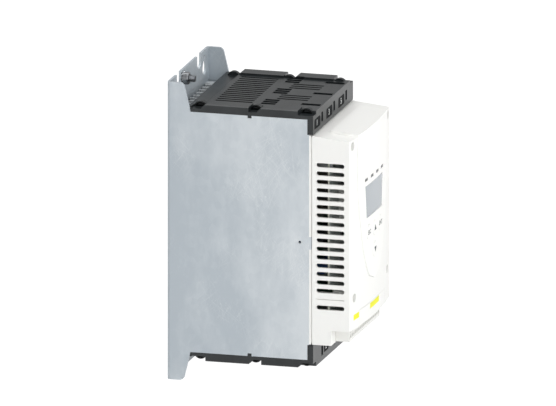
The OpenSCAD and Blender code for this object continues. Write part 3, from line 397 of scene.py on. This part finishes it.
def raw_laminate():
    # Sawn glass cloth and resin: pale grey-green layers along the board's edge.
    material, tree, shader, place = new_finish("raw_laminate", "#d3d4c6", 0.7)
    layers = add(tree, "ShaderNodeTexWave", {"Scale": per_mm(1), "Distortion": 2}, {"Vector": place},
                 bands_direction="Y").outputs["Fac"]
    colour = add(tree, "ShaderNodeMix", {6: linear("#c3c5b5"), 7: linear("#e0e0d4")}, {0: layers},
                 data_type="RGBA").outputs[2]
    tree.links.new(colour, shader.inputs["Base Color"])
    return material


sawn = raw_laminate()
resists = {"power_board": solder_resist("green_resist", "#2a6244", "#3f8259"),
           "control_board": solder_resist("white_resist", "#cdd2d2", "#bcc2c1")}
for name, lacquer in resists.items():
    board = rounded_copy(name, lacquer, 0.1, 5, segments=1)
    board.data.materials.append(sawn)
    for face in board.data.polygons:
        if abs(face.normal.y) < 0.5:
            face.material_index = 1


def varnished_core():
    # Stacked laminations under dark brown varnish.
    material, tree, shader, place = new_finish("varnished_core", "#3a3631", 0.4)
    layers = add(tree, "ShaderNodeTexWave", {"Scale": per_mm(3)}, {"Vector": place}, bands_direction="Y")
    colour = add(tree, "ShaderNodeMix", {6: linear("#302c28"), 7: linear("#47423c")},
                 {0: layers.outputs["Fac"]}, data_type="RGBA").outputs[2]
    tree.links.new(colour, shader.inputs["Base Color"])
    return material


dress(varnished_core(), "supply_transformer")


# Power covers: one black moulding over the line terminals, and its mirror image over the load terminals.
# Flame-retardant PC-ABS with a fine satin grain, clipped to the side panels by their hooks.
def black_cover_plastic():
    # A satin black that catches a grey sheen at low angles, and a thin film of pale dust.
    material, tree, shader, place = new_finish("black_cover_plastic", "#202426", 0.3)
    grain = add(tree, "ShaderNodeTexNoise", {"Scale": per_mm(0.9), "Detail": 4}, {"Vector": place}).outputs[0]
    dust = add(tree, "ShaderNodeTexNoise", {"Scale": per_mm(22), "Detail": 5}, {"Vector": place}).outputs[0]
    film = add(tree, "ShaderNodeMapRange", {"From Min": 0.4, "From Max": 0.75}, {"Value": dust}).outputs[0]
    colour = add(tree, "ShaderNodeMix", {6: linear("#1b1f21"), 7: linear("#282c2e")}, {0: film},
                 data_type="RGBA").outputs[2]
    tree.links.new(colour, shader.inputs["Base Color"])
    rough = add(tree, "ShaderNodeMapRange", {"To Min": 0.24, "To Max": 0.36}, {"Value": grain}).outputs[0]
    tree.links.new(rough, shader.inputs["Roughness"])
    relief = add(tree, "ShaderNodeBump", {"Strength": 0.15, "Distance": 0.0002}, {"Height": grain}).outputs[0]
    tree.links.new(relief, shader.inputs["Normal"])
    return material


black = black_cover_plastic()
rounded_copy("top_cover", black, 0.4, 4)
rounded_copy("bottom_cover", black, 0.4, 4)


# Marking fields: a dark plate beside each screw slot, snapped into the covers' front walls.
# Black nylon, with plain numbers printed in white: odd on the line side, even on the load side.
def printed_ink(name, code):
    # A thin dry ink film, a little uneven.
    material, tree, shader, place = new_finish(name, code, 0.6)
    film = add(tree, "ShaderNodeTexNoise", {"Scale": per_mm(0.7), "Detail": 3}, {"Vector": place}).outputs[0]
    rough = add(tree, "ShaderNodeMapRange", {"To Min": 0.5, "To Max": 0.7}, {"Value": film}).outputs[0]
    tree.links.new(rough, shader.inputs["Roughness"])
    return material


def marking_plate():
    # A dry black moulding, deeper in tone than the cover round it.
    material, tree, shader, place = new_finish("marking_plate", "#17191b", 0.6)
    shader.inputs["Specular IOR Level"].default_value = 0.08
    peel = add(tree, "ShaderNodeTexNoise", {"Scale": per_mm(2), "Detail": 2}, {"Vector": place}).outputs[0]
    relief = add(tree, "ShaderNodeBump", {"Strength": 0.05, "Distance": 0.0002}, {"Height": peel}).outputs[0]
    tree.links.new(relief, shader.inputs["Normal"])
    return material


def island_boxes(name):
    """The lowest and highest corners of each separate solid in a CAD node."""
    mesh = bmesh.new()
    mesh.from_mesh(nodes[name].data)
    bmesh.ops.remove_doubles(mesh, verts=mesh.verts, dist=2e-6)
    left = set(mesh.verts)
    boxes = []
    while left:
        found = [left.pop()]
        for vert in found:
            near = [v for e in vert.link_edges for v in e.verts if v in left]
            left.difference_update(near)
            found.extend(near)
        low = Vector([min(v.co[i] for v in found) for i in range(3)])
        high = Vector([max(v.co[i] for v in found) for i in range(3)])
        boxes.append((low, high))
    mesh.free()
    return boxes


INK_T = 0.00006


def printed_words(name, words, height, middle, material, body):
    """Flat characters on a face that looks to the front, centred on a point of that face."""
    text = bpy.data.curves.new(name, "FONT")
    text.body = words
    text.size = height / 0.7
    text.extrude = INK_T / 2
    text.offset = 0.015 * height
    text.align_x = "CENTER"
    text.align_y = "CENTER"
    holder = bpy.data.objects.new(name, text)
    scene.collection.objects.link(holder)
    bpy.context.view_layer.update()
    flat = bpy.data.meshes.new_from_object(holder.evaluated_get(bpy.context.evaluated_depsgraph_get()))
    bpy.data.objects.remove(holder)
    mesh = bmesh.new()
    mesh.from_mesh(flat)
    bmesh.ops.remove_doubles(mesh, verts=mesh.verts, dist=1e-7)
    xs = [v.co.x for v in mesh.verts]
    ys = [v.co.y for v in mesh.verts]
    centre = Vector(((min(xs) + max(xs)) / 2, (min(ys) + max(ys)) / 2, 0))
    bmesh.ops.translate(mesh, verts=mesh.verts, vec=-centre)
    bmesh.ops.transform(mesh, matrix=Matrix.Translation(middle) @ Matrix.Rotation(math.pi / 2, 4, "X"),
                        verts=mesh.verts)
    return new_piece(name, mesh, material, body)


dress(marking_plate(), "label_plates")
white_ink = printed_ink("white_ink", "#e8eaea")
plates = sorted(island_boxes("label_plates"), key=lambda b: (b[0].z < 0, b[0].x))
for k, (low, high) in enumerate(plates):
    number = 2 * k + 1 if k < 3 else 2 * (k - 3) + 2
    middle = Vector(((low.x + high.x) / 2, low.y - INK_T / 2, (low.z + high.z) / 2))
    printed_words("terminal_number_%d" % number, str(number), 0.005, middle, white_ink, "base")


# Front housing and terminal flap: the louvred white shell over the boards, and the strip above the terminals.
# ABS moulded in warm white with a very fine satin grain. Four screws in deep wells hold the shell.
def white_abs(name, code, roughness):
    # A warm white satin moulding: soft gloss, and a grain too fine to see except in the highlights.
    material, tree, shader, place = new_finish(name, code, roughness)
    grain = add(tree, "ShaderNodeTexNoise", {"Scale": per_mm(0.8), "Detail": 3}, {"Vector": place}).outputs[0]
    rough = add(tree, "ShaderNodeMapRange", {"To Min": roughness - 0.06, "To Max": roughness + 0.06},
                {"Value": grain}).outputs[0]
    tree.links.new(rough, shader.inputs["Roughness"])
    relief = add(tree, "ShaderNodeBump", {"Strength": 0.06, "Distance": 0.0002}, {"Height": grain}).outputs[0]
    tree.links.new(relief, shader.inputs["Normal"])
    return material


housing_white = white_abs("housing_white", "#f2f2ef", 0.42)
rounded_copy("front_housing", housing_white, 0.7, 5)
rounded_copy("terminal_flap", housing_white, 0.25, 3)
dress(white_abs("relay_white", "#e6e6e2", 0.4), "output_relays")
dress(white_abs("holder_white", "#e3e4e1", 0.5), "display_holder")


# Front cover: the shield with the display and keys, whose tongue hooks over the housing's roof.
# ABS like the housing's, a shade whiter, with a finer face.
cover_white = white_abs("cover_white", "#f5f5f2", 0.36)
rounded_copy("front_cover", cover_white, 0.5, 2.5)


# Display: a clear pane, and the liquid-crystal cell behind it.
# The pane is polycarbonate, flush in the cover. The cell is glass with a grey polariser.
def clear_pane():
    # A flat clear plate with a cool tint.
    material, tree, shader, place = new_finish("clear_pane", "#d5dce2", 0.1)
    shader.inputs["Transmission Weight"].default_value = 0.55
    shader.inputs["IOR"].default_value = 1.5
    waves = add(tree, "ShaderNodeTexNoise", {"Scale": per_mm(12), "Detail": 2}, {"Vector": place}).outputs[0]
    rough = add(tree, "ShaderNodeMapRange", {"To Min": 0.07, "To Max": 0.14}, {"Value": waves}).outputs[0]
    tree.links.new(rough, shader.inputs["Roughness"])
    return material


def crystal_cell():
    # A grey-green polariser with the faint grid of unlit cells.
    material, tree, shader, place = new_finish("crystal_cell", "#aab4b0", 0.3)
    upright = add(tree, "ShaderNodeMapping", {"Rotation": (math.pi / 2, 0, 0)}, {"Vector": place}).outputs[0]
    grid = add(tree, "ShaderNodeTexBrick",
               {"Scale": per_mm(4), "Mortar Size": 0.03, "Color1": linear("#a9b3b0"),
                "Color2": linear("#adb7b4"), "Mortar": linear("#b6bfbc")},
               {"Vector": upright})
    tree.links.new(grid.outputs["Color"], shader.inputs["Base Color"])
    return material


rounded_copy("display_window", clear_pane(), 0.2, 3)
dress(crystal_cell(), "display_glass")


# Status lamps: four light pipes from the control board to the cover's face.
# Smoke-tinted acrylic, moulded as one comb and cut flush with the face.
def smoke_acrylic():
    # Dark grey-green and glossy, with a slight depth.
    material, tree, shader, place = new_finish("smoke_acrylic", "#343b3f", 0.2)
    haze = add(tree, "ShaderNodeTexNoise", {"Scale": per_mm(3), "Detail": 2}, {"Vector": place}).outputs[0]
    colour = add(tree, "ShaderNodeMix", {6: linear("#2c3235"), 7: linear("#3f464a")}, {0: haze},
                 data_type="RGBA").outputs[2]
    tree.links.new(colour, shader.inputs["Base Color"])
    return material


dress(smoke_acrylic(), "status_light_pipes")


# Keys: four round caps that press straight in, each with its own stem and switch.
# White ABS with dark printed marks: words for leave and accept, arrows for up and down.
key_white = white_abs("key_white", "#f4f4f1", 0.36)
dark_ink = printed_ink("dark_ink", "#3a4248")
KEY_WORDS = {"key_escape": "ESC", "key_enter": "ENT"}
KEY_ARROWS = {"key_up": 1, "key_down": -1}


def arrow_mark(middle, width, way):
    """A flat triangle that points up or down."""
    mesh = bmesh.new()
    corners = ((-width / 2, -way * width * 0.38), (width / 2, -way * width * 0.38), (0, way * width * 0.42))
    face = mesh.faces.new([mesh.verts.new((middle.x + x, middle.y, middle.z + z)) for x, z in corners])
    grown = bmesh.ops.extrude_face_region(mesh, geom=[face])["geom"]
    raised = [v for v in grown if isinstance(v, bmesh.types.BMVert)]
    bmesh.ops.translate(mesh, verts=raised, vec=(0, INK_T, 0))
    return mesh


dress(key_white, *KEY_WORDS, *KEY_ARROWS)
for name in (*KEY_WORDS, *KEY_ARROWS):
    low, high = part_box(name)
    middle = Vector(((low.x + high.x) / 2, low.y - INK_T / 2, (low.z + high.z) / 2))
    if name in KEY_WORDS:
        printed_words(name + "_word", KEY_WORDS[name], 0.0038, middle, dark_ink, name)
    else:
        mark = arrow_mark(middle - Vector((0, INK_T / 2, 0)), 0.0062, KEY_ARROWS[name])
        new_piece(name + "_arrow", mark, dark_ink, name)


# Marker inserts: two yellow strips let into the lower front, for the user's own marking.
# Matt yellow polycarbonate, pressed in flush.
def yellow_insert():
    # A strong plain yellow with a dry surface that takes a pen.
    material, tree, shader, place = new_finish("yellow_insert", "#f1ef24", 0.6)
    grain = add(tree, "ShaderNodeTexNoise", {"Scale": per_mm(0.7), "Detail": 3}, {"Vector": place}).outputs[0]
    relief = add(tree, "ShaderNodeBump", {"Strength": 0.1, "Distance": 0.0002}, {"Height": grain}).outputs[0]
    tree.links.new(relief, shader.inputs["Normal"])
    return material


dress(yellow_insert(), "marker_inserts")


# Control terminals: one strip of screw terminals on the control board, below the flap.
# White nylon with a wire entry under each captive screw.
dress(white_abs("terminal_nylon", "#e9e9e5", 0.45), "control_terminal_block")


# Stage: a pale floor under the lower ears, a white surround and four soft lamps.
# The floor looks white to the camera, and still takes a little of the part's shadow.
def pale_floor():
    # Mostly plain white to the eye, over a matt white that takes light and shadow.
    material, tree, shader, place = new_finish("pale_floor", "#f4f4f4", 0.9)
    rays = add(tree, "ShaderNodeLightPath").outputs
    seen = add(tree, "ShaderNodeMath", None, {0: rays["Is Camera Ray"], 1: rays["Is Glossy Ray"]},
               operation="MAXIMUM").outputs[0]
    seen = add(tree, "ShaderNodeMath", None, {0: seen, 1: rays["Is Transmission Ray"]},
               operation="MAXIMUM").outputs[0]
    share = add(tree, "ShaderNodeMapRange", {"To Min": 0.1, "To Max": 0.9}, {"Value": seen}).outputs[0]
    power = add(tree, "ShaderNodeMapRange", {"To Min": 1.04, "To Max": 1.16},
                {"Value": rays["Is Camera Ray"]}).outputs[0]
    white = add(tree, "ShaderNodeEmission", {"Color": (1, 1, 1, 1)}, {"Strength": power}).outputs[0]
    mixed = add(tree, "ShaderNodeMixShader", None, {0: share, 1: shader.outputs[0], 2: white}).outputs[0]
    tree.links.new(mixed, tree.nodes["Material Output"].inputs["Surface"])
    return material


FLOOR_HALF = 12
mesh = bmesh.new()
bmesh.ops.create_grid(mesh, x_segments=1, y_segments=1, size=FLOOR_HALF)
bmesh.ops.translate(mesh, verts=mesh.verts, vec=(0, 0, cad_box[0][2] - 0.0002))
floor = bpy.data.objects.new("floor", bpy.data.meshes.new("floor"))
mesh.to_mesh(floor.data)
mesh.free()
floor.data.materials.append(pale_floor())
scene.collection.objects.link(floor)

world = bpy.data.worlds.new("studio")
scene.world = world
world.use_nodes = True
ground = world.node_tree.nodes["Background"]
heading = add(world.node_tree, "ShaderNodeTexCoord").outputs["Generated"]
rise = add(world.node_tree, "ShaderNodeSeparateXYZ", None, {0: heading}).outputs["Z"]
glow = add(world.node_tree, "ShaderNodeMapRange",
           {"From Min": 0.02, "From Max": 0.5, "To Min": 0.65, "To Max": 0.3},
           {"Value": rise}).outputs[0]
world.node_tree.links.new(glow, ground.inputs["Strength"])
ground.inputs["Color"].default_value = (1, 1, 1, 1)

TARGET = Vector((0, -0.08163, 0.0139))
LAMPS = {
    "front_lamp": ((-0.7, -1.9, 0.9), 1.4, 20),
    "side_lamp": ((-1.7, -0.6, 1.5), 1.4, 5.4),
    "near_lamp": ((-0.6, -0.7, -0.12), 0.4, 1.7),
    "top_lamp": ((-0.2, 0.1, 2.1), 1.5, 24),
}
for name, (spot, size, watts) in LAMPS.items():
    lamp = bpy.data.lights.new(name, "AREA")
    lamp.size = size
    lamp.energy = watts
    holder = bpy.data.objects.new(name, lamp)
    holder.location = spot
    holder.rotation_euler = (TARGET - Vector(spot)).to_track_quat("-Z", "Y").to_euler()
    scene.collection.objects.link(holder)

AZIMUTH = math.radians(-74.6)
ELEVATION = math.radians(14.3)
PHOTO_W = 556
PX_PER_MM = 1.1578
lens = bpy.data.cameras.new("camera")
lens.type = "ORTHO"
lens.ortho_scale = PHOTO_W / PX_PER_MM / 1000
lens.clip_end = 50
camera = bpy.data.objects.new("camera", lens)
level = math.cos(ELEVATION)
away = Vector((math.sin(AZIMUTH) * level, -math.cos(AZIMUTH) * level, math.sin(ELEVATION)))
camera.location = TARGET + 2 * away
camera.rotation_euler = (-away).to_track_quat("-Z", "Y").to_euler()
scene.collection.objects.link(camera)
scene.camera = camera
scene.view_settings.view_transform = "Standard"
